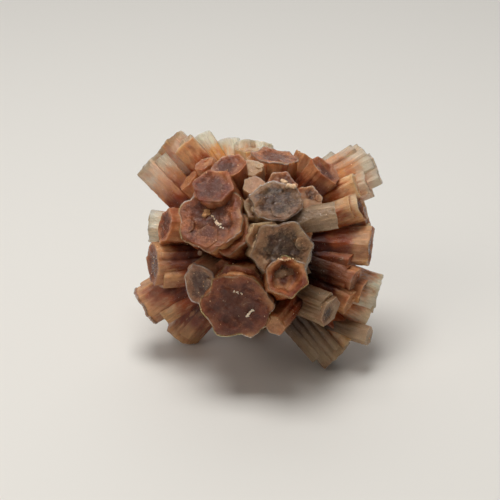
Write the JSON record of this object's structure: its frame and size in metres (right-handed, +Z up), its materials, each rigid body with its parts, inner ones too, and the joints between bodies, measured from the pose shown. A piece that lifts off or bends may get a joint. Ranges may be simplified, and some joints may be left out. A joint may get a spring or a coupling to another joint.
{
  "type": "aragonite sputnik",
  "caption": "Ball of stout six-sided mineral crystals radiating from a common centre, with blunt flat ends, translucent reddish brown fading to pale tips. It rests on three crystal ends.",
  "frame": {"origin": "on the table, below the middle of the cluster's bounding box", "axes": "+Z up as the specimen rests, +X to the right of its best side, +Y to the back"},
  "size_m": [0.0498, 0.0494, 0.0432],
  "materials": {
    "aragonite": "translucent crystal, glossy ends and finely ribbed satin sides"
  },
  "bodies": {
    "root": {"aragonite_cluster": "aragonite"}
  },
  "joints": []
}
